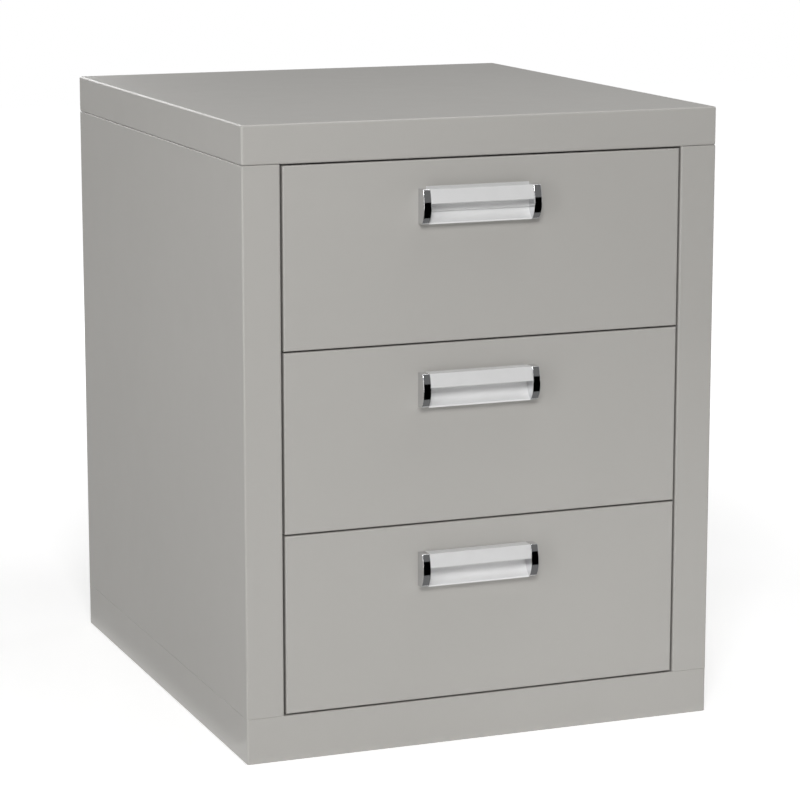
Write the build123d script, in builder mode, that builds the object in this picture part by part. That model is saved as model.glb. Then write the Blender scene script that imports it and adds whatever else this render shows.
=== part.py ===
"""Free-standing steel drawer unit: a folded sheet carcass with three inset drawers on ball runners.

Millimetres. X runs to the right, Y to the back and Z up. The unit stands on Z = 0, with X = Y = 0 at
the middle of its plan, handles included, and its drawers open towards -Y.
"""
import os
from math import sqrt

from build123d import *

# Overall size
cabinet_width = 480.0
cabinet_depth = 545.0
cabinet_height = 602.0
cover_height = 37.0
plinth_height = 44.0
stile_width = 37.0
drawer_count = 3

# Sheet steel of the carcass
sheet = 1.0
inner_bend = 1.0
corner_easing = 0.4
cover_hem_bend = 2.0
cover_seam_share = 0.8
plinth_seam_share = 0.5
cover_return = 15.0
plinth_return = 20.0
jamb_depth = 30.0
rear_return = 20.0
side_flange = 15.0
back_flange = 14.0
floor_turndown = 12.0
sheet_clearance = 0.3

# Posts that carry the runners
post_sheet = 1.2
post_depth = 30.0
post_gap = 1.0
post_rear_setback = 15.0

# Drawer fronts
gap_upright = 2.2
gap_level = 1.5
front_depth = 20.0
front_inner_bend = 0.5
front_return = 12.0
liner_inset = 1.5

# Drawer trays
tray_lift = 14.0
tray_headroom = 17.0
tray_rear_margin = 7.0
tray_hem = 12.0
tray_hem_drop = 6.0
tray_back_tab = 15.0
tray_back_setback = 6.0

# Ball runners: distances across the runner are measured from the face that sits on the post
runner_setback = 24.0
runner_rear_room = 71.0
runner_rise_share = 0.43
runner_width = 12.7
runner_steel = 1.2
runner_bend = 1.5
fixed_height = 45.2
fixed_reach = 9.6
fixed_lip = 3.6
middle_height = 36.4
middle_start = 2.8
middle_reach = 11.2
drawer_member_height = 27.6
drawer_member_start = 5.4
cage_steel = 0.6
cage_bend = 0.9
cage_length_share = 0.48
outer_cage_start = 1.7
outer_cage_reach = 8.0
outer_cage_height = 40.2
inner_cage_start = 4.4
inner_cage_reach = 10.6
inner_cage_height = 31.4

# Handles: reaches are measured out from the face of the drawer front
handle_shift = -8.5
handle_drop = 26.4
handle_height = 33.0
grip_length = 104.0
grip_wall = 1.8
grip_sink = 2.4
grip_foot = 3.0
grip_top_reach = 12.0
grip_tip_reach = 14.8
grip_lip_reach = 8.0
grip_lip_edge = 1.4
grip_end_radius = 0.8
grip_tip_radius = 0.5
bar_height = 13.4
scoop_turn_share = 0.55
cutout_clearance = 0.3
upstand_height = 1.7
upstand_wall = 1.2
groove_depth = 3.0
step_height = 11.0
step_wall = 1.6
cap_width = 7.5
cap_top_reach = 11.5
cap_belly_reach = 15.0
cap_foot_reach = 8.5
cap_belly_share = 0.47
cap_edge_radius = 0.8

# Handle screws
screw_diameter = 4.0
screw_head_diameter = 7.0
screw_head_height = 2.4
screw_bite = 8.0
screw_clearance = 0.05
screw_hole_clearance = 0.3
screw_hole_spare = 1.0

# How far a cut runs past what it cuts
overrun = 1.0

# Planes and sizes that follow from the driving dimensions
outer_bend = inner_bend + sheet
corner_radius = outer_bend + corner_easing
cover_seam = cover_seam_share * sheet
plinth_seam = plinth_seam_share * sheet
half_width = cabinet_width / 2
front_y = (cap_belly_reach - cabinet_depth) / 2
back_y = front_y + cabinet_depth
middle_y = (front_y + back_y) / 2
opening_bottom = plinth_height
opening_top = cabinet_height - cover_height
opening_half = half_width - stile_width
floor_bottom = opening_bottom + sheet
floor_top = floor_bottom + sheet
floor_front = front_y + jamb_depth + post_gap / 2
back_inner = back_y - 2 * sheet
front_edge_radius = front_inner_bend + sheet
front_width = 2 * (opening_half - gap_upright)
front_height = (opening_top - opening_bottom - (drawer_count + 1) * gap_level) / drawer_count
drawer_pitch = front_height + gap_level
liner_back = front_y + front_depth + sheet
runner_front = front_y + runner_setback
runner_length = back_y - runner_rear_room - runner_front
cage_length = cage_length_share * runner_length
cage_front = runner_front + (runner_length - cage_length) / 2
tray_half = opening_half - runner_width
tray_height = front_height - tray_lift - tray_headroom
tray_depth = runner_front + runner_length + tray_rear_margin - liner_back
runner_rise = runner_rise_share * tray_height
screw_offset = grip_length / 2 + cap_width / 2

# The scoop is an arc that leaves the back wall upright and ends at the lip
scoop_turn = scoop_turn_share * handle_height
scoop_back = grip_wall - grip_sink
scoop_run = grip_lip_reach - scoop_back
scoop_radius = (scoop_run**2 + (scoop_turn - grip_lip_edge) ** 2) / (2 * scoop_run)
scoop_centre = scoop_back + scoop_radius
cutout_bottom = scoop_turn - sqrt((scoop_radius + grip_wall) ** 2 - scoop_centre**2)

pieces = {}


def folded(points, thickness, radius):
    """Outline of a sheet folded along points, its thickness to the left of the way they run."""
    with BuildLine() as outline:
        FilletPolyline(*points, radius=radius)
        offset(amount=thickness, side=Side.LEFT)
    return outline.edges()


def mirrored(piece):
    """The right-hand twin of a left-hand piece."""
    with BuildPart() as twin:
        mirror(piece, about=Plane.YZ)
    return twin.part


def across(y):
    """Upright plane at y with X to the right and Z up; it faces the front."""
    return Plane.XZ.offset(-y)


def skin_edges(piece, z):
    """Edges at height z that lie on the outside of the carcass."""
    near = sheet * cover_seam_share
    return [
        edge
        for edge in piece.edges().filter_by_position(Axis.Z, z, z)
        if edge.center().X < near - half_width
        or edge.center().Y < front_y + near
        or edge.center().Y > back_y - near
    ]


# Top cover: a pan with its skirt downwards and a flange turned in along the skirt's lower edge
with BuildPart() as top_cover:
    with BuildSketch(Plane.XY.offset(opening_top)):
        with Locations((0, middle_y)):
            RectangleRounded(cabinet_width, cabinet_depth, corner_radius)
    extrude(amount=cover_height)
    fillet(top_cover.faces().sort_by(Axis.Z)[-1].edges(), radius=outer_bend)
    offset(amount=-sheet, openings=top_cover.faces().sort_by(Axis.Z)[0])
    with BuildSketch(Plane.XY.offset(opening_top)):
        with Locations((0, middle_y)):
            RectangleRounded(cabinet_width, cabinet_depth, corner_radius)
            Rectangle(cabinet_width - 2 * cover_return, cabinet_depth - 2 * cover_return, mode=Mode.SUBTRACT)
    extrude(amount=sheet)
    fillet(top_cover.faces().sort_by(Axis.Z)[0].outer_wire().edges(), radius=cover_hem_bend)
pieces["top_cover"] = top_cover.part

# Plinth: a ring of upright sheet with flanges turned in at its top and its foot
with BuildPart() as base_plinth:
    with BuildSketch():
        with Locations((0, middle_y)):
            RectangleRounded(cabinet_width, cabinet_depth, corner_radius)
            RectangleRounded(
                cabinet_width - 2 * sheet,
                cabinet_depth - 2 * sheet,
                corner_radius - sheet,
                mode=Mode.SUBTRACT,
            )
    extrude(amount=plinth_height)
    with BuildSketch(Plane.XY, Plane.XY.offset(plinth_height - sheet)):
        with Locations((0, middle_y)):
            RectangleRounded(cabinet_width, cabinet_depth, corner_radius)
            Rectangle(
                cabinet_width - 2 * plinth_return,
                cabinet_depth - 2 * plinth_return,
                mode=Mode.SUBTRACT,
            )
    extrude(amount=sheet)
    fillet(base_plinth.faces().sort_by(Axis.Z)[-1].outer_wire().edges(), radius=plinth_seam)
    fillet(base_plinth.faces().sort_by(Axis.Z)[0].outer_wire().edges(), radius=plinth_seam)
pieces["base_plinth"] = base_plinth.part

# Side panel: rear return, side, front stile and jamb in one sheet, with flanges at its top and foot
with BuildPart() as side_left:
    with BuildSketch(Plane.XY.offset(opening_bottom)):
        make_face(
            folded(
                [
                    (rear_return - half_width, back_y),
                    (-half_width, back_y),
                    (-half_width, front_y),
                    (-opening_half, front_y),
                    (-opening_half, front_y + jamb_depth),
                ],
                sheet,
                outer_bend,
            )
        )
    extrude(amount=opening_top - opening_bottom)
    flange_depth = back_inner - sheet_clearance - front_y - outer_bend
    with BuildSketch(Plane.XY.offset(opening_bottom), Plane.XY.offset(opening_top - sheet)):
        with Locations((-half_width, front_y + outer_bend)):
            Rectangle(side_flange, flange_depth, align=(Align.MIN, Align.MIN))
    extrude(amount=sheet)
    fillet(skin_edges(side_left, opening_top), radius=cover_seam)
    fillet(skin_edges(side_left, opening_bottom), radius=plinth_seam)
pieces["side_left"] = side_left.part
pieces["side_right"] = mirrored(side_left.part)

# Back panel: a flat sheet behind the carcass, seated on the rear returns, with flanges between the sides
with BuildPart() as back_panel:
    with BuildSketch(across(back_inner)):
        with Locations((0, (opening_bottom + opening_top) / 2)):
            Rectangle(2 * (half_width - outer_bend - sheet_clearance), opening_top - opening_bottom)
    extrude(amount=-sheet)
    with BuildSketch(Plane.XY.offset(opening_bottom), Plane.XY.offset(opening_top - sheet)):
        with Locations((0, back_inner)):
            Rectangle(
                2 * (half_width - side_flange - sheet_clearance), back_flange, align=(Align.CENTER, Align.MAX)
            )
    extrude(amount=sheet)
pieces["back_panel"] = back_panel.part

# Floor panel: lies on the flanges of the sides and back, with its front edge turned down
with BuildPart() as floor_panel:
    with BuildSketch(Plane.XY.offset(floor_bottom)):
        with Locations((0, floor_front)):
            Rectangle(
                2 * (half_width - sheet - sheet_clearance),
                back_inner - sheet_clearance - floor_front,
                align=(Align.CENTER, Align.MIN),
            )
    extrude(amount=sheet)
    with BuildSketch(Plane.XY.offset(floor_bottom)):
        with Locations((0, floor_front)):
            Rectangle(
                2 * (half_width - plinth_return - sheet_clearance), sheet, align=(Align.CENTER, Align.MIN)
            )
    extrude(amount=-floor_turndown)
pieces["floor_panel"] = floor_panel.part


def runner_post(y):
    """Channel that stands between the side panel and the plane of the runners, open to the back."""
    with BuildPart() as post:
        with BuildSketch(Plane.XY.offset(floor_top)):
            make_face(
                folded(
                    [
                        (sheet - half_width, y + post_depth),
                        (sheet - half_width, y),
                        (-opening_half, y),
                        (-opening_half, y + post_depth),
                    ],
                    post_sheet,
                    outer_bend,
                )
            )
        extrude(amount=opening_top - sheet - floor_top)
    return post.part


post_places = {
    "front": front_y + jamb_depth + post_gap,
    "rear": runner_front + runner_length - post_depth - post_rear_setback,
}
for place, post_y in post_places.items():
    post_left = runner_post(post_y)
    pieces[f"post_{place}_left"] = post_left
    pieces[f"post_{place}_right"] = mirrored(post_left)


def channel_corners(z, web, arm, height):
    """Corners of a runner channel on the left, its web and arms that far from the post's face."""
    half = height / 2
    return [
        (arm - opening_half, z + half),
        (web - opening_half, z + half),
        (web - opening_half, z - half),
        (arm - opening_half, z - half),
    ]


def runner_member(corners):
    """Rolled channel as long as the runner, its steel to the left of the way its corners run."""
    with BuildPart() as member:
        with BuildSketch(across(runner_front)):
            make_face(folded(corners, runner_steel, runner_bend))
        extrude(amount=-runner_length)
    return member.part


def fixed_member(z):
    """Channel on the posts, its arms ending in lips that keep the balls in."""
    corners = channel_corners(z, 0, fixed_reach, fixed_height)
    (arm, top), (_, foot) = corners[0], corners[-1]
    return runner_member([(arm, top - fixed_lip), *corners, (arm, foot + fixed_lip)])


def middle_member(z):
    """Channel that runs between the other two, open towards the drawer."""
    return runner_member(channel_corners(z, middle_start, middle_reach, middle_height))


def drawer_member(z):
    """Channel on the side of the tray, open towards the post."""
    return runner_member(channel_corners(z, runner_width, drawer_member_start, drawer_member_height)[::-1])


def ball_cages(z, web, arm, height):
    """Strips that keep the balls apart in the left and right runners of one drawer."""
    with BuildPart() as cages:
        with BuildSketch(across(cage_front)):
            make_face(folded(channel_corners(z, web, arm, height), cage_steel, cage_bend))
        extrude(amount=-cage_length)
        mirror(about=Plane.YZ)
    return cages.part


def drawer_front(base):
    """Pan with its open side to the back, cut out for the handle, with a flange turned in all round."""
    middle_z = base + front_height / 2
    foot_z = base + front_height - handle_drop - handle_height
    with BuildPart() as front:
        with BuildSketch(across(front_y + front_depth)):
            with Locations((0, middle_z)):
                Rectangle(front_width, front_height)
        extrude(amount=front_depth)
        fillet(front.faces().sort_by(Axis.Y)[0].edges(), radius=front_edge_radius)
        offset(amount=-sheet, openings=front.faces().sort_by(Axis.Y)[-1])
        with BuildSketch(across(front_y + front_depth)):
            with Locations((0, middle_z)):
                Rectangle(front_width, front_height)
                Rectangle(front_width - 2 * front_return, front_height - 2 * front_return, mode=Mode.SUBTRACT)
        extrude(amount=sheet)
        with BuildSketch(across(front_y + sheet + overrun)):
            with Locations((handle_shift, foot_z + cutout_bottom - cutout_clearance)):
                Rectangle(
                    grip_length + 2 * cutout_clearance,
                    handle_height - grip_foot - cutout_bottom + 2 * cutout_clearance,
                    align=(Align.CENTER, Align.MIN),
                )
            with Locations(*screw_spots(base)):
                Circle(screw_diameter / 2 + screw_hole_clearance)
        extrude(amount=sheet + 2 * overrun, mode=Mode.SUBTRACT)
    return front.part


def screw_spots(base):
    """X and Z of the two screws that hold a handle."""
    z = base + front_height - handle_drop - handle_height / 2
    return [(handle_shift - screw_offset, z), (handle_shift + screw_offset, z)]


def front_liner(base):
    """Flat sheet that closes the back of the drawer front."""
    with BuildPart() as liner:
        with BuildSketch(across(liner_back)):
            with Locations((0, base + front_height / 2)):
                Rectangle(front_width - 2 * liner_inset, front_height - 2 * liner_inset)
        extrude(amount=sheet)
    return liner.part


def drawer_tray(base):
    """Floor and two sides in one folded sheet, the top edges of the sides turned in and down."""
    floor = base + tray_lift
    top = floor + tray_height
    hem = tray_half - tray_hem
    with BuildPart() as tray:
        with BuildSketch(across(liner_back)):
            make_face(
                folded(
                    [
                        (-hem, top - tray_hem_drop),
                        (-hem, top),
                        (-tray_half, top),
                        (-tray_half, floor),
                        (tray_half, floor),
                        (tray_half, top),
                        (hem, top),
                        (hem, top - tray_hem_drop),
                    ],
                    sheet,
                    outer_bend,
                )
            )
        extrude(amount=-tray_depth)
    return tray.part


def tray_back(base):
    """Rear wall of the tray, with tabs turned forward along the sides."""
    inside = tray_half - sheet
    wall = liner_back + tray_depth - tray_back_setback
    with BuildPart() as back:
        with BuildSketch(Plane.XY.offset(base + tray_lift + outer_bend)):
            make_face(
                folded(
                    [
                        (inside, wall - tray_back_tab),
                        (inside, wall),
                        (-inside, wall),
                        (-inside, wall - tray_back_tab),
                    ],
                    sheet,
                    outer_bend,
                )
            )
        extrude(amount=tray_height - 2 * outer_bend - tray_hem_drop)
    return back.part


def handle_plane(base, x):
    """Plane across a handle at x: its first axis points out of the drawer front, its second up."""
    foot_z = base + front_height - handle_drop - handle_height
    return Plane(origin=(x, front_y, foot_z), x_dir=(0, -1, 0), z_dir=(-1, 0, 0))


def scoop_reach(radius, height):
    """How far out an arc about the scoop's centre is at a height below its turn."""
    return scoop_centre - sqrt(radius**2 - (scoop_turn - height) ** 2)


def handle_grip(base, lipped):
    """Grip extrusion: a leaning bar, a web to the front, a back wall and a scoop down to the lip.

    The lipped grip has an upstand behind a groove above the bar, and a step across the scoop.
    """
    top = handle_height
    groove = groove_depth if lipped else 0
    tip_z = top - bar_height
    web_under = top - groove - grip_wall
    back_under = top - grip_foot - grip_wall - groove
    bar_in = grip_top_reach - grip_wall
    with BuildPart() as grip:
        with BuildSketch(handle_plane(base, handle_shift)) as section:
            with BuildLine():
                crown = [(grip_tip_reach, tip_z), (grip_top_reach, top)]
                if lipped:
                    crown += [
                        (bar_in, top),
                        (bar_in, top - groove),
                        (upstand_wall, top - groove),
                        (upstand_wall, top + upstand_height),
                        (0, top + upstand_height),
                    ]
                else:
                    crown += [(0, top)]
                Polyline(
                    *crown,
                    (0, top - grip_foot),
                    (-grip_sink, top - grip_foot),
                    (-grip_sink, scoop_turn),
                )
                TangentArc((-grip_sink, scoop_turn), (0, cutout_bottom), tangent=(0, -1))
                Polyline((0, cutout_bottom), (0, 0), (grip_lip_reach, 0), (grip_lip_reach, grip_lip_edge))
                if lipped:
                    foot = (scoop_reach(scoop_radius, step_height), step_height)
                    ledge = (scoop_reach(scoop_radius - step_wall, step_height), step_height)
                    inside = scoop_back + step_wall
                    slope = (scoop_turn - step_height, foot[0] - scoop_centre)
                    TangentArc(foot, (grip_lip_reach, grip_lip_edge), tangent=slope)
                    Line(foot, ledge)
                    TangentArc((inside, scoop_turn), ledge, tangent=(0, -1))
                else:
                    inside = scoop_back
                    TangentArc((inside, scoop_turn), (grip_lip_reach, grip_lip_edge), tangent=(0, -1))
                Polyline(
                    (inside, scoop_turn),
                    (inside, back_under),
                    (bar_in, web_under),
                    (grip_tip_reach - grip_wall, tip_z),
                    (grip_tip_reach, tip_z),
                )
            make_face()
            fillet(section.vertices().group_by(Axis.X)[-1], radius=grip_tip_radius)
        extrude(amount=grip_length / 2, both=True)
        ends = grip.faces().filter_by(Axis.X).edges()
        bar_ends = ends.filter_by_position(Axis.Y, front_y - grip_tip_reach, front_y - grip_top_reach)
        fillet(bar_ends.sort_by(SortBy.LENGTH)[-2:], radius=grip_end_radius)
    return grip.part


def handle_cap(base, x):
    """End cap: a block with a bellied front, drilled from behind for its screw."""
    belly = (cap_belly_reach, cap_belly_share * handle_height)
    with BuildPart() as cap:
        with BuildSketch(handle_plane(base, x)):
            with BuildLine():
                TangentArc(belly, (cap_top_reach, handle_height), tangent=(0, 1))
                Polyline((cap_top_reach, handle_height), (0, handle_height), (0, 0), (cap_foot_reach, 0))
                TangentArc(belly, (cap_foot_reach, 0), tangent=(0, -1))
            make_face()
        extrude(amount=cap_width / 2, both=True)
        ends = cap.faces().filter_by(Axis.X).edges()
        fillet(ends.filter_by_position(Axis.Y, front_y - cap_belly_reach, front_y - overrun), cap_edge_radius)
        with BuildSketch(across(front_y)):
            with Locations((x, base + front_height - handle_drop - handle_height / 2)):
                Circle(screw_diameter / 2 + screw_clearance)
        extrude(amount=screw_bite + screw_hole_spare, mode=Mode.SUBTRACT)
    return cap.part


def handle_screws(base):
    """Two screws with their heads inside the drawer front and their shanks in the end caps."""
    head_y = front_y + sheet + screw_head_height
    with BuildPart() as screws:
        with BuildSketch(across(head_y)):
            with Locations(*screw_spots(base)):
                Circle(screw_head_diameter / 2)
        extrude(amount=screw_head_height)
        with BuildSketch(across(head_y)):
            with Locations(*screw_spots(base)):
                Circle(screw_diameter / 2)
        extrude(amount=screw_head_height + sheet + screw_bite)
    return screws.part


# Drawers are numbered from the top down
for number in range(1, drawer_count + 1):
    base = opening_top - number * drawer_pitch
    runner_z = base + tray_lift + runner_rise
    pieces[f"front_{number}"] = drawer_front(base)
    pieces[f"liner_{number}"] = front_liner(base)
    pieces[f"tray_{number}"] = drawer_tray(base)
    pieces[f"tray_back_{number}"] = tray_back(base)
    pieces[f"grip_{number}"] = handle_grip(base, lipped=number == 1)
    pieces[f"cap_left_{number}"] = handle_cap(base, handle_shift - screw_offset)
    pieces[f"cap_right_{number}"] = handle_cap(base, handle_shift + screw_offset)
    pieces[f"handle_screws_{number}"] = handle_screws(base)
    members = {"fixed": fixed_member, "middle": middle_member, "drawer": drawer_member}
    for place, member in members.items():
        pieces[f"runner_{place}_left_{number}"] = member(runner_z)
        pieces[f"runner_{place}_right_{number}"] = mirrored(member(runner_z))
    pieces[f"cages_outer_{number}"] = ball_cages(
        runner_z, outer_cage_start, outer_cage_reach, outer_cage_height
    )
    pieces[f"cages_inner_{number}"] = ball_cages(
        runner_z, inner_cage_start, inner_cage_reach, inner_cage_height
    )

os.makedirs("parts", exist_ok=True)
for name, piece in pieces.items():
    piece.label = name
    export_step(piece, f"parts/{name}.step")
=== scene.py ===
"""Looks of the steel drawer unit: powder coat and bright metal on its solids, rounded handle caps and grips,
runner balls, screws and spot welds."""
import math

import bmesh
import bpy
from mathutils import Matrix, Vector


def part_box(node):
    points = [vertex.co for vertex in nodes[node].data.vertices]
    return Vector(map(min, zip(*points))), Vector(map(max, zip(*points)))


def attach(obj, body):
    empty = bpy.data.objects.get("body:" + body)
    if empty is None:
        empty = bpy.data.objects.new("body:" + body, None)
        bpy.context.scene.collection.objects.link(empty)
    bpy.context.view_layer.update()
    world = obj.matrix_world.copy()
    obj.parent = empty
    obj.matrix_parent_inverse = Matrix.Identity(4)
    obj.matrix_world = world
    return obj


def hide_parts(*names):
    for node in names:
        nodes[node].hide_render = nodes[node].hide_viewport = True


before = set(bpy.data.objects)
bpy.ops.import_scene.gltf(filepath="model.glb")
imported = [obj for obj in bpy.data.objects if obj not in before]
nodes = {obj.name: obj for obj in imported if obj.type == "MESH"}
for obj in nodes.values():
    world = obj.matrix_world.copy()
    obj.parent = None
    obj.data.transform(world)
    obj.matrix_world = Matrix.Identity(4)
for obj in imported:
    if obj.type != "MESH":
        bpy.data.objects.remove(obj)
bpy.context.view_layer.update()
drawer_numbers = sorted(int(name.rsplit("_", 1)[1]) for name in nodes if name.startswith("tray_back_"))
sides = ("left", "right")

# Camera, as solved from the corners of the unit in the photograph
photo_side_px = 800
focal_length_px = 3005.35
sensor_width = 36.0
camera_place = (-1.0948, -2.8346, 0.8811)
camera_turn = math.radians(-21.431)
camera_dip = math.radians(11.115)

# Stage
floor_half = 6.0
floor_drop = 0.0002
floor_white = 0.82
floor_glow_span = (0.7, 2.4)
floor_glow = (0.42, 0.85)
floor_bounce_share = 0.2
daylight = 0.18
unit_middle = (0.0, 0.0, 0.3)
low_lamp_opening = math.radians(70)

# Studio flags: their ends to the left and right, and the lines where one stops and the next starts
flag_across = (-3.0, 4.0)
flag_lift = 0.001
near_flag_y = -0.27
low_flag_y = -0.6
front_flag_y = -3.6
grey_flag_z = 0.9
rear_flag_y = 3.2

# Painted light on the scoop of the grips, whose colour is made brighter than the bar to stand in for light
# under the bar: its start behind the front of the bar, its end above the foot, and the blend there
painted_light_setback = 0.0047
painted_light_height = 0.0196
painted_light_blend = 0.0005

# Grips: place of the lowest one and pitch between them, which also place the painted light on their scoops;
# shares in their finish, and limits for merging and shading
grip_front, grip_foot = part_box("grip_3")[0][1:]
grip_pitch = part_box("grip_2")[0][2] - grip_foot
grip_cloud_share = 0.12
grip_metal_share = 0.1
grip_merge = 0.000002
grip_flat = math.radians(1)
grip_crease = math.radians(25)

# End caps of the handles: shares of their height and of their greatest reach, and their rounded edges
cap_belly_share = 0.47
cap_top_share = 11.5 / 15.0
cap_foot_share = 8.5 / 15.0
cap_edge = 0.0005
cap_edge_steps = 3
cap_arc_steps = 14
cap_edge_turn = math.radians(30)
cap_crease = math.radians(40)

# Runner balls, their distances measured from the face of the runner that sits on the post
ball_diameter = 0.0032
ball_pitch = 0.0125
outer_ball_depth = 0.0052
outer_ball_rise = 0.0198
inner_ball_depth = 0.0077
inner_ball_rise = 0.0154
ball_segments = 8
ball_rings = 6

# Screws of the drawer members, spot welds, and the small faces that mark their places
screw_head = 0.0068
screw_head_height = 0.0019
screw_place_shares = (0.06, 0.5, 0.94)
recess_length_share = 0.6
recess_width_share = 0.16
member_wall = 0.0012
weld_diameter = 0.0055
weld_height = 0.00022
weld_pitch = 0.085
rear_weld_inset = 0.010
liner_weld_inset = 0.0065
tab_weld_inset = 0.007
spot_half = 0.0001


def linear(red, green, blue):
    """Scene colour of an 8-bit screen colour."""
    shares = [value / 255 for value in (red, green, blue)]
    return [s / 12.92 if s <= 0.04045 else ((s + 0.055) / 1.055) ** 2.4 for s in shares] + [1.0]


# Shader groups


def shader_group(name, inputs, outputs):
    """Empty shader group with the given inputs and float outputs, and its two end nodes."""
    tree = bpy.data.node_groups.new(name, "ShaderNodeTree")
    for label, kind, value in inputs:
        socket = tree.interface.new_socket(label, in_out="INPUT", socket_type=kind)
        if value is not None:
            socket.default_value = value
    for label in outputs:
        tree.interface.new_socket(label, in_out="OUTPUT", socket_type="NodeSocketFloat")
    return tree, tree.nodes.new("NodeGroupInput"), tree.nodes.new("NodeGroupOutput")


def noise(tree, vector, scale, detail, roughness):
    """Noise texture fed by a vector socket; scale is a socket or a number."""
    node = tree.nodes.new("ShaderNodeTexNoise")
    node.inputs["Detail"].default_value = detail
    node.inputs["Roughness"].default_value = roughness
    tree.links.new(vector, node.inputs["Vector"])
    if isinstance(scale, (int, float)):
        node.inputs["Scale"].default_value = scale
    else:
        tree.links.new(scale, node.inputs["Scale"])
    return node.outputs["Fac"]


def spread(tree, value, low, high, to_low=0.0, to_high=1.0):
    """Value stretched from low..high to the new limits."""
    node = tree.nodes.new("ShaderNodeMapRange")
    for label, number in (("From Min", low), ("From Max", high), ("To Min", to_low), ("To Max", to_high)):
        node.inputs[label].default_value = number
    tree.links.new(value, node.inputs["Value"])
    return node.outputs["Result"]


def powder_coat_group():
    """Orange peel, slow drift of tone and patches of duller coat on a sprayed and baked surface."""
    tree, start, end = shader_group(
        "powder_coat",
        [("Vector", "NodeSocketVector", None), ("Peel Scale", "NodeSocketFloat", 700.0)],
        ["Peel", "Drift", "Dullness"],
    )
    vector = start.outputs["Vector"]
    peel = noise(tree, vector, start.outputs["Peel Scale"], detail=2.0, roughness=0.5)
    drift = noise(tree, vector, scale=3.5, detail=3.0, roughness=0.6)
    dullness = noise(tree, vector, scale=26.0, detail=4.0, roughness=0.65)
    tree.links.new(peel, end.inputs["Peel"])
    tree.links.new(spread(tree, drift, 0.3, 0.7), end.inputs["Drift"])
    tree.links.new(spread(tree, dullness, 0.3, 0.7), end.inputs["Dullness"])
    return tree


def drawn_metal_group():
    """Fine lines that a die, a roll or a brush leaves along one direction, and broad cloudy patches."""
    tree, start, end = shader_group(
        "drawn_metal",
        [("Vector", "NodeSocketVector", None), ("Line Scale", "NodeSocketVector", (1.0, 1.0, 1.0))],
        ["Lines", "Clouds"],
    )
    stretch = tree.nodes.new("ShaderNodeVectorMath")
    stretch.operation = "MULTIPLY"
    tree.links.new(start.outputs["Vector"], stretch.inputs[0])
    tree.links.new(start.outputs["Line Scale"], stretch.inputs[1])
    lines = noise(tree, stretch.outputs["Vector"], scale=1.0, detail=4.0, roughness=0.6)
    clouds = noise(tree, start.outputs["Vector"], scale=45.0, detail=3.0, roughness=0.6)
    tree.links.new(spread(tree, lines, 0.25, 0.75), end.inputs["Lines"])
    tree.links.new(spread(tree, clouds, 0.3, 0.7), end.inputs["Clouds"])
    return tree


powder_coat = powder_coat_group()
drawn_metal = drawn_metal_group()


# Materials


def new_material(name, group, settings):
    """Material with its shader, and a group placed on object coordinates with its own settings."""
    material = bpy.data.materials.new(name)
    material.use_nodes = True
    tree = material.node_tree
    place = tree.nodes.new("ShaderNodeTexCoord")
    effect = tree.nodes.new("ShaderNodeGroup")
    effect.node_tree = group
    tree.links.new(place.outputs["Object"], effect.inputs["Vector"])
    for label, value in settings.items():
        effect.inputs[label].default_value = value
    return material, tree, tree.nodes["Principled BSDF"], effect


def blend_colour(tree, shader, factor, first, second):
    """Base colour that moves from first to second with factor."""
    mix = tree.nodes.new("ShaderNodeMix")
    mix.data_type = "RGBA"
    mix.inputs["A"].default_value = first
    mix.inputs["B"].default_value = second
    tree.links.new(factor, mix.inputs["Factor"])
    tree.links.new(mix.outputs["Result"], shader.inputs["Base Color"])


def add_bump(tree, shader, height, depth, strength):
    """Bump of that depth in metres from a height socket."""
    bump = tree.nodes.new("ShaderNodeBump")
    bump.inputs["Distance"].default_value = depth
    bump.inputs["Strength"].default_value = strength
    tree.links.new(height, bump.inputs["Height"])
    tree.links.new(bump.outputs["Normal"], shader.inputs["Normal"])


def set_roughness(tree, shader, value, smooth, dull):
    """Roughness that moves from smooth to dull with a value."""
    tree.links.new(spread(tree, value, 0.0, 1.0, smooth, dull), shader.inputs["Roughness"])


def powder_paint(name, dark, light, glossy, dull):
    """Satin powder coat between two close shades, its roughness between two limits."""
    material, tree, shader, coat = new_material(name, powder_coat, {"Peel Scale": 650.0})
    blend_colour(tree, shader, coat.outputs["Drift"], dark, light)
    set_roughness(tree, shader, coat.outputs["Dullness"], glossy, dull)
    add_bump(tree, shader, coat.outputs["Peel"], depth=0.00012, strength=0.2)
    return material


def bright_metal(name, line_scale, dark, light, polished, dull, line_depth):
    """Bare or plated metal with fine lines along one direction."""
    material, tree, shader, finish = new_material(name, drawn_metal, {"Line Scale": line_scale})
    shader.inputs["Metallic"].default_value = 1.0
    blend_colour(tree, shader, finish.outputs["Clouds"], dark, light)
    set_roughness(tree, shader, finish.outputs["Lines"], polished, dull)
    add_bump(tree, shader, finish.outputs["Lines"], line_depth, strength=0.3)
    return material


def around(edge):
    """Limits of the soft change at an edge of the painted light on the scoop."""
    return edge - painted_light_blend, edge + painted_light_blend


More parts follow.
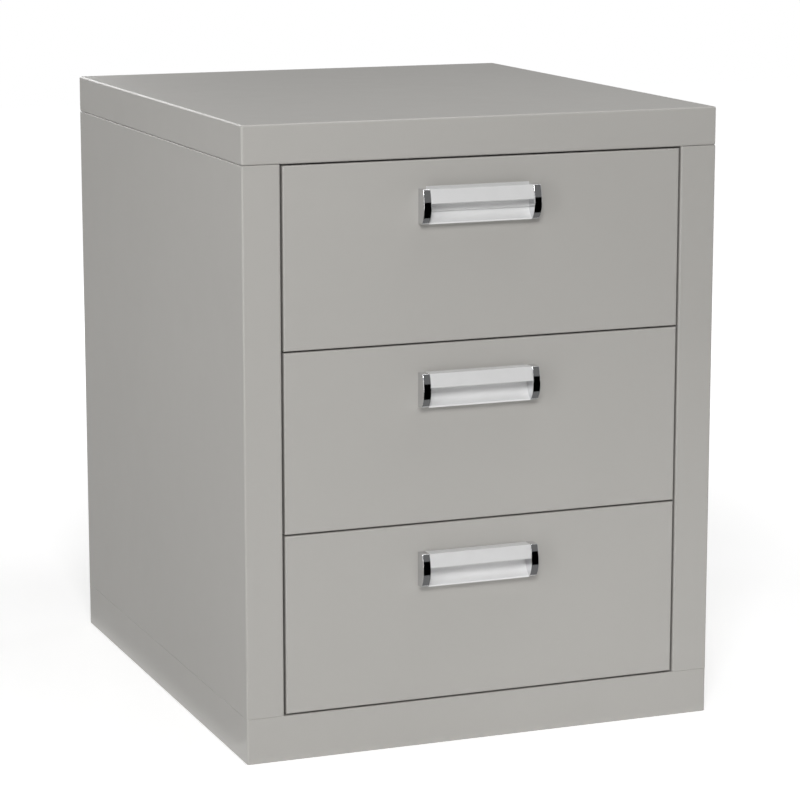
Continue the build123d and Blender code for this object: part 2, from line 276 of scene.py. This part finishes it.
def grip_with_painted_scoop_light(name, line_scale, bar, scoop, polished, dull, line_depth):
    """Pale anodised extrusion with lines along it, and painted light on its scoop: the scoop's colour is
    brighter than the bar in front, standing in for the light that the shade under the bar keeps from it.
    """
    material, tree, shader, finish = new_material(name, drawn_metal, {"Line Scale": line_scale})
    shader.inputs["Metallic"].default_value = grip_metal_share
    place = tree.nodes.new("ShaderNodeTexCoord")
    axes = tree.nodes.new("ShaderNodeSeparateXYZ")
    height = tree.nodes.new("ShaderNodeMath")
    height.operation = "WRAP"
    height.inputs[1].default_value = grip_foot + grip_pitch
    height.inputs[2].default_value = grip_foot
    # Painted light: a mask of the scoop, behind the front of the bar and under the scoop's top, that turns the
    # colour from the bar's shade to the brighter scoop shade
    painted_light_mask = tree.nodes.new("ShaderNodeMath")
    painted_light_mask.operation = "MULTIPLY"
    brightness = tree.nodes.new("ShaderNodeMath")
    brightness.operation = "MULTIPLY_ADD"
    brightness.inputs[1].default_value = grip_cloud_share
    tree.links.new(place.outputs["Object"], axes.inputs["Vector"])
    tree.links.new(axes.outputs["Z"], height.inputs[0])
    front_edge = around(grip_front + painted_light_setback)
    top_edge = around(grip_foot + painted_light_height)
    behind = spread(tree, axes.outputs["Y"], *front_edge, 0.0, 1.0 - grip_cloud_share)
    under = spread(tree, height.outputs["Value"], *top_edge, 1.0, 0.0)
    tree.links.new(behind, painted_light_mask.inputs[0])
    tree.links.new(under, painted_light_mask.inputs[1])
    tree.links.new(finish.outputs["Clouds"], brightness.inputs[0])
    tree.links.new(painted_light_mask.outputs["Value"], brightness.inputs[2])
    # Colour of random clouds plus painted light on the scoop
    blend_colour(tree, shader, brightness.outputs["Value"], bar, scoop)
    set_roughness(tree, shader, finish.outputs["Lines"], polished, dull)
    add_bump(tree, shader, finish.outputs["Lines"], line_depth, strength=0.3)
    return material


case_paint = powder_paint("case_paint", linear(167, 165, 161), linear(169, 167, 163), 0.36, 0.40)
tray_paint = powder_paint("tray_paint", linear(160, 158, 154), linear(165, 163, 159), 0.42, 0.52)
runner_zinc = bright_metal(
    "runner_zinc", (900.0, 8.0, 900.0), linear(176, 180, 186), linear(200, 200, 198), 0.24, 0.40, 0.00003
)
cage_steel = bright_metal(
    "cage_steel", (700.0, 10.0, 700.0), linear(120, 120, 118), linear(142, 141, 138), 0.35, 0.5, 0.00003
)
ball_steel = bright_metal(
    "ball_steel", (300.0, 300.0, 300.0), linear(205, 206, 208), linear(216, 216, 216), 0.06, 0.12, 0.00001
)
# The scoop colour, lighter than the bar's, is painted light under the bar
grip_aluminium = grip_with_painted_scoop_light(
    "grip_aluminium", (6.0, 1500.0, 1500.0), linear(203, 203, 203), linear(226, 226, 226), 0.42, 0.54, 0.00002
)
cap_chrome = bright_metal(
    "cap_chrome", (120.0, 120.0, 120.0), linear(216, 217, 219), linear(221, 221, 222), 0.05, 0.09, 0.000005
)
screw_zinc = bright_metal(
    "screw_zinc", (250.0, 250.0, 250.0), linear(170, 170, 166), linear(196, 194, 188), 0.25, 0.38, 0.00002
)

node_finishes = {
    "runner_": runner_zinc,
    "cages_": cage_steel,
    "grip_": grip_aluminium,
    "cap_": cap_chrome,
    "handle_screws_": screw_zinc,
    "tray_": tray_paint,
}
for name, node in nodes.items():
    finish = next((found for start, found in node_finishes.items() if name.startswith(start)), case_paint)
    node.data.materials.clear()
    node.data.materials.append(finish)


# Handles


def add_object(name, mesh):
    """Object at the origin that shows a mesh."""
    piece = bpy.data.objects.new(name, mesh)
    bpy.context.scene.collection.objects.link(piece)
    return piece


def evened(piece, crease):
    """Smooth shading on a piece, broken at edges sharper than crease and true on its flat faces."""
    piece.data.shade_smooth()
    piece.data.set_sharp_from_angle(angle=crease)
    even = piece.modifiers.new("even_flats", "WEIGHTED_NORMAL")
    even.keep_sharp = True
    shaded = bpy.data.meshes.new_from_object(piece.evaluated_get(bpy.context.evaluated_depsgraph_get()))
    piece.modifiers.clear()
    piece.data = shaded


def cap_outline(height, reach):
    """Front of an end cap from its foot to its top, bellied: points of reach and height."""
    belly = cap_belly_share * height
    points = []
    for end_reach, end in ((cap_foot_share * reach, 0.0), (cap_top_share * reach, height)):
        radius = ((reach - end_reach) ** 2 + (end - belly) ** 2) / (2 * (reach - end_reach))
        swing = math.asin((end - belly) / radius)
        turns = [swing * step / cap_arc_steps for step in range(cap_arc_steps + 1)]
        arc = [(reach - radius * (1 - math.cos(turn)), belly + radius * math.sin(turn)) for turn in turns]
        points = list(reversed(arc)) if end == 0.0 else points + arc[1:]
    return points


def make_cap(name, node):
    """Chrome end cap with a bellied front and rounded edges, in the place of its solid."""
    low, high = (Vector(corner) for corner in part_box(node))
    front = cap_outline(high.z - low.z, high.y - low.y)
    outline = [(0.0, 0.0)] + front + [(0.0, high.z - low.z)]
    shape = bmesh.new()
    rows = [
        [shape.verts.new((x, high.y - reach, low.z + z)) for reach, z in outline]
        for x in (low.x, high.x)
    ]
    count = len(outline)
    for first in range(count):
        after = (first + 1) % count
        shape.faces.new((rows[0][first], rows[0][after], rows[1][after], rows[1][first]))
    for row in rows:
        shape.faces.new(row)
    bmesh.ops.recalc_face_normals(shape, faces=shape.faces)
    back = {rows[0][0], rows[1][0], rows[0][-1], rows[1][-1]}
    crisp = [
        edge
        for edge in shape.edges
        if edge.calc_face_angle() > cap_edge_turn and not (edge.verts[0] in back and edge.verts[1] in back)
    ]
    bmesh.ops.bevel(
        shape,
        geom=crisp,
        offset=cap_edge,
        segments=cap_edge_steps,
        profile=0.5,
        affect="EDGES",
        clamp_overlap=True,
    )
    mesh = bpy.data.meshes.new(name)
    shape.to_mesh(mesh)
    shape.free()
    mesh.materials.append(cap_chrome)
    return add_object(name, mesh)


def make_grip(name, node):
    """Grip extrusion with an evenly shaded scoop, in the place of its solid."""
    shape = bmesh.new()
    shape.from_mesh(nodes[node].data)
    bmesh.ops.remove_doubles(shape, verts=shape.verts, dist=grip_merge)
    bmesh.ops.dissolve_limit(shape, angle_limit=grip_flat, verts=shape.verts, edges=shape.edges)
    mesh = bpy.data.meshes.new(name)
    shape.to_mesh(mesh)
    shape.free()
    mesh.materials.append(grip_aluminium)
    return add_object(name, mesh)


for number in drawer_numbers:
    for side in sides:
        cap = make_cap(f"end_cap_{side}_{number}", f"cap_{side}_{number}")
        evened(cap, cap_crease)
        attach(cap, f"drawer_{number}")
        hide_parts(f"cap_{side}_{number}")
    grip = make_grip(f"hand_grip_{number}", f"grip_{number}")
    evened(grip, grip_crease)
    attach(grip, f"drawer_{number}")
    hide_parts(f"grip_{number}")


# Runner balls, screws and spot welds


def geometry_tree(name, inputs):
    """Geometry tree with a mesh of places and named inputs, and its two end nodes."""
    tree = bpy.data.node_groups.new(name, "GeometryNodeTree")
    tree.interface.new_socket("Places", in_out="INPUT", socket_type="NodeSocketGeometry")
    for label, kind in inputs:
        tree.interface.new_socket(label, in_out="INPUT", socket_type=kind)
    tree.interface.new_socket("Pieces", in_out="OUTPUT", socket_type="NodeSocketGeometry")
    return tree, tree.nodes.new("NodeGroupInput"), tree.nodes.new("NodeGroupOutput")


def place_shape(tree, start, end, points, shape, turn=None):
    """Ends a tree: the shape on each point, turned, realized, smooth and with its material."""
    link = tree.links.new
    put = tree.nodes.new("GeometryNodeInstanceOnPoints")
    real = tree.nodes.new("GeometryNodeRealizeInstances")
    smooth = tree.nodes.new("GeometryNodeSetShadeSmooth")
    finish = tree.nodes.new("GeometryNodeSetMaterial")
    link(points, put.inputs["Points"])
    link(shape, put.inputs["Instance"])
    if turn is not None:
        link(turn, put.inputs["Rotation"])
    link(put.outputs["Instances"], smooth.inputs["Geometry"])
    link(smooth.outputs["Geometry"], real.inputs["Geometry"])
    link(real.outputs["Geometry"], finish.inputs["Geometry"])
    link(start.outputs["Finish"], finish.inputs["Material"])
    link(finish.outputs["Geometry"], end.inputs["Pieces"])


def times(tree, value, factor):
    """A value socket multiplied by a plain number."""
    node = tree.nodes.new("ShaderNodeMath")
    node.operation = "MULTIPLY"
    node.inputs[1].default_value = factor
    tree.links.new(value, node.inputs[0])
    return node.outputs["Value"]


def vector_of(tree, **axes):
    """Vector socket from value sockets named by their axis."""
    node = tree.nodes.new("ShaderNodeCombineXYZ")
    for axis, value in axes.items():
        tree.links.new(value, node.inputs[axis.upper()])
    return node.outputs["Vector"]


def ball_row_tree():
    """Rows of balls that run to the back from each place."""
    tree, start, end = geometry_tree(
        "ball_rows",
        [
            ("Diameter", "NodeSocketFloat"),
            ("Pitch", "NodeSocketFloat"),
            ("Count", "NodeSocketInt"),
            ("Finish", "NodeSocketMaterial"),
        ],
    )
    link = tree.links.new
    row = tree.nodes.new("GeometryNodeMeshLine")
    lay = tree.nodes.new("GeometryNodeInstanceOnPoints")
    rows = tree.nodes.new("GeometryNodeRealizeInstances")
    ball = tree.nodes.new("GeometryNodeMeshUVSphere")
    ball.inputs["Segments"].default_value = ball_segments
    ball.inputs["Rings"].default_value = ball_rings
    link(start.outputs["Count"], row.inputs["Count"])
    link(vector_of(tree, y=start.outputs["Pitch"]), row.inputs["Offset"])
    link(start.outputs["Places"], lay.inputs["Points"])
    link(row.outputs["Mesh"], lay.inputs["Instance"])
    link(lay.outputs["Instances"], rows.inputs["Geometry"])
    link(times(tree, start.outputs["Diameter"], 0.5), ball.inputs["Radius"])
    place_shape(tree, start, end, rows.outputs["Geometry"], ball.outputs["Mesh"])
    return tree


def low_dome(tree, start, segments, rings):
    """Flattened ball of the tree's Diameter, which stands the tree's Height above its place."""
    ball = tree.nodes.new("GeometryNodeMeshUVSphere")
    ball.inputs["Segments"].default_value = segments
    ball.inputs["Rings"].default_value = rings
    ball.inputs["Radius"].default_value = 1.0
    half = times(tree, start.outputs["Diameter"], 0.5)
    flat = tree.nodes.new("GeometryNodeTransform")
    tree.links.new(ball.outputs["Mesh"], flat.inputs["Geometry"])
    tree.links.new(vector_of(tree, x=half, y=half, z=start.outputs["Height"]), flat.inputs["Scale"])
    return flat.outputs["Geometry"]


def faced_points(tree, start):
    """A point on each small face of the places, and the rotation that looks the same way as the face."""
    link = tree.links.new
    normal = tree.nodes.new("GeometryNodeInputNormal")
    turn = tree.nodes.new("FunctionNodeAlignRotationToVector")
    turn.axis = "Z"
    catch = tree.nodes.new("GeometryNodeCaptureAttribute")
    catch.domain = "FACE"
    catch.capture_items.new("ROTATION", "Facing")
    points = tree.nodes.new("GeometryNodeMeshToPoints")
    points.mode = "FACES"
    link(normal.outputs["Normal"], turn.inputs["Vector"])
    link(start.outputs["Places"], catch.inputs["Geometry"])
    link(turn.outputs["Rotation"], catch.inputs["Facing"])
    link(catch.outputs["Geometry"], points.inputs["Mesh"])
    return points.outputs["Points"], catch.outputs["Facing"]


dome_inputs = [
    ("Diameter", "NodeSocketFloat"),
    ("Height", "NodeSocketFloat"),
    ("Finish", "NodeSocketMaterial"),
]


def weld_tree():
    """Shallow round spot welds, one on each small face of the places."""
    tree, start, end = geometry_tree("spot_welds", dome_inputs)
    points, facing = faced_points(tree, start)
    place_shape(tree, start, end, points, low_dome(tree, start, segments=10, rings=6), facing)
    return tree


def screw_tree():
    """Domed screw heads with a crossed recess, one on each small face of the places."""
    tree, start, end = geometry_tree("cross_screws", dome_inputs)
    link = tree.links.new
    cut = tree.nodes.new("GeometryNodeMeshBoolean")
    cut.operation = "DIFFERENCE"
    link(low_dome(tree, start, segments=16, rings=8), cut.inputs["Mesh 1"])
    height = start.outputs["Height"]
    length = times(tree, start.outputs["Diameter"], recess_length_share)
    width = times(tree, start.outputs["Diameter"], recess_width_share)
    for sizes in ({"x": length, "y": width, "z": height}, {"x": width, "y": length, "z": height}):
        bar = tree.nodes.new("GeometryNodeMeshCube")
        lift = tree.nodes.new("GeometryNodeTransform")
        link(vector_of(tree, **sizes), bar.inputs["Size"])
        link(bar.outputs["Mesh"], lift.inputs["Geometry"])
        link(vector_of(tree, z=height), lift.inputs["Translation"])
        link(lift.outputs["Geometry"], cut.inputs["Mesh 2"])
    points, facing = faced_points(tree, start)
    place_shape(tree, start, end, points, cut.outputs["Mesh"], facing)
    return tree


def grow(name, mesh, tree, settings, body):
    """Piece that a tree grows from a mesh of places, turned into a plain mesh that rides on a body."""
    piece = add_object(name, mesh)
    growth = piece.modifiers.new(tree.name, "NODES")
    growth.node_group = tree
    for item in tree.interface.items_tree:
        if item.in_out == "INPUT" and item.name in settings:
            growth[item.identifier] = settings[item.name]
    grown = bpy.data.meshes.new_from_object(piece.evaluated_get(bpy.context.evaluated_depsgraph_get()))
    piece.modifiers.clear()
    piece.data = grown
    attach(piece, body)
    return piece


def point_mesh(name, points):
    """Mesh of loose points."""
    mesh = bpy.data.meshes.new(name)
    mesh.from_pydata(points, [], [])
    return mesh


def facing_mesh(name, spots):
    """Mesh of tiny square faces, one for each spot of place and facing."""
    corners = []
    faces = []
    for place, facing in spots:
        place = Vector(place)
        across = Vector(facing).orthogonal() * spot_half
        along = Vector(facing).cross(across)
        faces.append(range(len(corners), len(corners) + 4))
        corners += [
            place - across - along,
            place + across - along,
            place + across + along,
            place - across + along,
        ]
    mesh = bpy.data.meshes.new(name)
    mesh.from_pydata(corners, [], faces)
    return mesh


ball_rows = ball_row_tree()
spot_welds = weld_tree()
cross_screws = screw_tree()


def make_balls(number, place, depth, rise):
    """Balls in the two cages of one kind of a drawer."""
    cages = f"cages_{place}_{number}"
    low, high = (Vector(corner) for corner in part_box(cages))
    post_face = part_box(f"runner_fixed_right_{number}")[1][0]
    middle_z = (low.z + high.z) / 2
    count = int((high.y - low.y - 2 * ball_diameter) / ball_pitch) + 1
    first_y = (low.y + high.y) / 2 - (count - 1) * ball_pitch / 2
    starts = [(way * (post_face - depth), first_y, middle_z + up * rise) for way in (-1, 1) for up in (-1, 1)]
    settings = {"Diameter": ball_diameter, "Pitch": ball_pitch, "Count": count, "Finish": ball_steel}
    balls = grow(f"balls_{place}_{number}", point_mesh(cages, starts), ball_rows, settings, cages)


def evenly(low, high, pitch):
    """Places from low to high, evenly set and about a pitch apart."""
    count = max(1, round((high - low) / pitch))
    return [low + (high - low) * step / count for step in range(count + 1)]


def drawer_screws(number):
    """Screws that hold the two drawer members to the tray, their heads in the members' channels."""
    spots = []
    for side, way in zip(sides, (-1, 1)):
        low, high = (Vector(corner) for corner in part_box(f"runner_drawer_{side}_{number}"))
        web = (low.x if way > 0 else high.x) + way * member_wall
        for share in screw_place_shares:
            spots.append(((web, low.y + share * (high.y - low.y), (low.z + high.z) / 2), (way, 0, 0)))
    settings = {"Diameter": screw_head, "Height": screw_head_height, "Finish": screw_zinc}
    places = facing_mesh("screws", spots)
    screws = grow(f"member_screws_{number}", places, cross_screws, settings, f"drawer_{number}")


def drawer_welds(number):
    """Spot welds along the liner of the front and on the tabs of the tray's back."""
    low, high = (Vector(corner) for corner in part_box(f"liner_{number}"))
    spots = []
    for x in evenly(low.x + 4 * liner_weld_inset, high.x - 4 * liner_weld_inset, weld_pitch):
        for z in (low.z + liner_weld_inset, high.z - liner_weld_inset):
            spots.append(((x, high.y, z), (0, 1, 0)))
    low, high = (Vector(corner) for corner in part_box(f"tray_back_{number}"))
    tray_low, tray_high = (Vector(corner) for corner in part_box(f"tray_{number}"))
    for z in evenly(low.z + 2 * tab_weld_inset, high.z - 2 * tab_weld_inset, weld_pitch / 2):
        for x, way in ((tray_low.x, -1), (tray_high.x, 1)):
            spots.append(((x, low.y + tab_weld_inset, z), (way, 0, 0)))
    settings = {"Diameter": weld_diameter, "Height": weld_height, "Finish": tray_paint}
    places = facing_mesh("welds", spots)
    welds = grow(f"tray_welds_{number}", places, spot_welds, settings, f"drawer_{number}")


def rear_welds():
    """Spot welds that hold the back panel to the rear returns of the two sides."""
    spots = []
    for side, way in zip(sides, (-1, 1)):
        low, high = (Vector(corner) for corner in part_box(f"side_{side}"))
        x = (low.x if way < 0 else high.x) - way * rear_weld_inset
        for z in evenly(low.z + 3 * rear_weld_inset, high.z - 3 * rear_weld_inset, weld_pitch):
            spots.append(((x, high.y, z), (0, 1, 0)))
    settings = {"Diameter": weld_diameter, "Height": weld_height, "Finish": case_paint}
    welds = grow("rear_welds", facing_mesh("welds", spots), spot_welds, settings, "cabinet")


for number in drawer_numbers:
    make_balls(number, "outer", outer_ball_depth, outer_ball_rise)
    make_balls(number, "inner", inner_ball_depth, inner_ball_rise)
    drawer_screws(number)
    drawer_welds(number)
rear_welds()


# Stage, light and camera


def stage_sheet(name, corners, material):
    """Flat four-cornered sheet that belongs to the stage."""
    mesh = bpy.data.meshes.new(name)
    mesh.from_pydata(corners, [], [(0, 1, 2, 3)])
    mesh.materials.append(material)
    sheet = add_object(name, mesh)
    return sheet


def seen_directly(tree):
    """1 for rays that show a surface straight, in a mirror or through glass, and 0 for the rest."""
    path = tree.nodes.new("ShaderNodeLightPath")
    seen = path.outputs["Is Camera Ray"]
    for kind in ("Is Glossy Ray", "Is Transmission Ray"):
        either = tree.nodes.new("ShaderNodeMath")
        either.operation = "MAXIMUM"
        tree.links.new(seen, either.inputs[0])
        tree.links.new(path.outputs[kind], either.inputs[1])
        seen = either.outputs["Value"]
    return seen


def floor_material():
    """White floor that keeps the shadow near the unit and looks plain white further off."""
    material = bpy.data.materials.new("stage_floor")
    material.use_nodes = True
    tree = material.node_tree
    link = tree.links.new
    shader = tree.nodes["Principled BSDF"]
    shader.inputs["Base Color"].default_value = (floor_white, floor_white, floor_white, 1.0)
    shader.inputs["Roughness"].default_value = 0.9
    shader.inputs["Specular IOR Level"].default_value = 0.0
    place = tree.nodes.new("ShaderNodeTexCoord")
    distance = tree.nodes.new("ShaderNodeVectorMath")
    distance.operation = "LENGTH"
    link(place.outputs["Object"], distance.inputs[0])
    glow = tree.nodes.new("ShaderNodeEmission")
    both = tree.nodes.new("ShaderNodeAddShader")
    share = tree.nodes.new("ShaderNodeMath")
    share.operation = "MULTIPLY"
    link(spread(tree, distance.outputs["Value"], *floor_glow_span, *floor_glow), share.inputs[0])
    link(spread(tree, seen_directly(tree), 0.0, 1.0, floor_bounce_share), share.inputs[1])
    link(share.outputs["Value"], glow.inputs["Strength"])
    link(shader.outputs["BSDF"], both.inputs[0])
    link(glow.outputs["Emission"], both.inputs[1])
    link(both.outputs["Shader"], tree.nodes["Material Output"].inputs["Surface"])
    return material


def flag_material(name, grey):
    """Even grey of a studio flag, which no lamp changes."""
    material = bpy.data.materials.new(name)
    material.use_nodes = True
    shader = material.node_tree.nodes["Principled BSDF"]
    shader.inputs["Base Color"].default_value = (0.0, 0.0, 0.0, 1.0)
    shader.inputs["Specular IOR Level"].default_value = 0.0
    shader.inputs["Emission Color"].default_value = (grey, grey, grey, 1.0)
    shader.inputs["Emission Strength"].default_value = 1.0
    return material


def studio_flag(name, start, end, grey, across=flag_across):
    """Flag from one level line to another, each of depth and height, that only shows in reflections."""
    left, right = across
    corners = [(left, *start), (right, *start), (right, *end), (left, *end)]
    flag = stage_sheet(name, corners, flag_material(name, grey))
    flag.visible_camera = False
    flag.visible_diffuse = False
    flag.visible_shadow = False
    flag.visible_transmission = False


def make_floor():
    """Large flat floor just under the plinth."""
    reach = floor_half
    corners = [(-reach, -reach), (reach, -reach), (reach, reach), (-reach, reach)]
    stage_sheet("stage_floor", [(x, y, -floor_drop) for x, y in corners], floor_material())


def make_world():
    """Even daylight on the object, with plain white behind it and in its reflections."""
    world = bpy.data.worlds.new("studio")
    bpy.context.scene.world = world
    world.use_nodes = True
    tree = world.node_tree
    background = tree.nodes["Background"]
    background.inputs["Color"].default_value = (1.0, 1.0, 1.0, 1.0)
    tree.links.new(spread(tree, seen_directly(tree), 0.0, 1.0, daylight), background.inputs["Strength"])


def soft_box(name, place, aim, width, height, brightness, mirrored=True, opening=math.pi):
    """Area lamp of even brightness that faces a point, its light within an opening, mirrored or not."""
    lamp = bpy.data.lights.new(name, "AREA")
    lamp.shape = "RECTANGLE"
    lamp.size = width
    lamp.size_y = height
    lamp.spread = opening
    lamp.energy = 4 * width * height * brightness
    holder = bpy.data.objects.new(name, lamp)
    holder.location = place
    holder.rotation_euler = (Vector(aim) - Vector(place)).to_track_quat("-Z", "Y").to_euler()
    holder.visible_glossy = mirrored
    bpy.context.scene.collection.objects.link(holder)


def make_camera():
    """Camera where the photograph was taken from."""
    data = bpy.data.cameras.new("photo_camera")
    data.sensor_width = sensor_width
    data.lens = focal_length_px / photo_side_px * sensor_width
    camera = bpy.data.objects.new("photo_camera", data)
    camera.location = camera_place
    camera.rotation_euler = (math.pi / 2 - camera_dip, 0.0, camera_turn)
    bpy.context.scene.collection.objects.link(camera)
    bpy.context.scene.camera = camera


make_floor()
make_world()
studio_flag("flag_near", (near_flag_y, flag_lift), (low_flag_y, flag_lift), 0.18)
studio_flag("flag_low", (low_flag_y, flag_lift), (front_flag_y, flag_lift), 0.0)
studio_flag("flag_dark", (front_flag_y, 0.0), (front_flag_y, grey_flag_z), 0.0)
studio_flag("flag_grey", (front_flag_y, grey_flag_z), (-3.0, 5.0), 0.17)
studio_flag("flag_rear", (rear_flag_y, 0.0), (rear_flag_y, 2.4), 0.3)
studio_flag("flag_side", (-0.2, flag_lift), (rear_flag_y, flag_lift), 0.4, across=(-4.0, -0.25))
soft_box("strip_left", (-1.7, -1.2, 0.75), (-0.2, -0.2, 0.35), 0.3, 1.5, 4.2)
soft_box("side_fill", (-3.0, 0.8, 1.3), unit_middle, 1.2, 1.2, 2.5)
soft_box("key_left", (-1.2, -3.1, 2.3), unit_middle, 1.1, 1.1, 14.8)
soft_box(
    "front_low",
    (0.35, -1.15, 0.08),
    (0.2, -0.265, 0.0),
    width=1.0,
    height=0.15,
    brightness=0.7,
    mirrored=False,
    opening=low_lamp_opening,
)
soft_box("overhead", (0.35, -0.45, 2.1), unit_middle, 0.6, 0.6, 5.5)
soft_box("rear", (-0.3, 2.4, 1.1), unit_middle, 1.2, 0.8, 3.2)
soft_box("strip_right", (2.0, 0.7, 0.5), unit_middle, 0.8, 1.0, 2.5)
make_camera()
bpy.context.scene.view_settings.view_transform = "Standard"
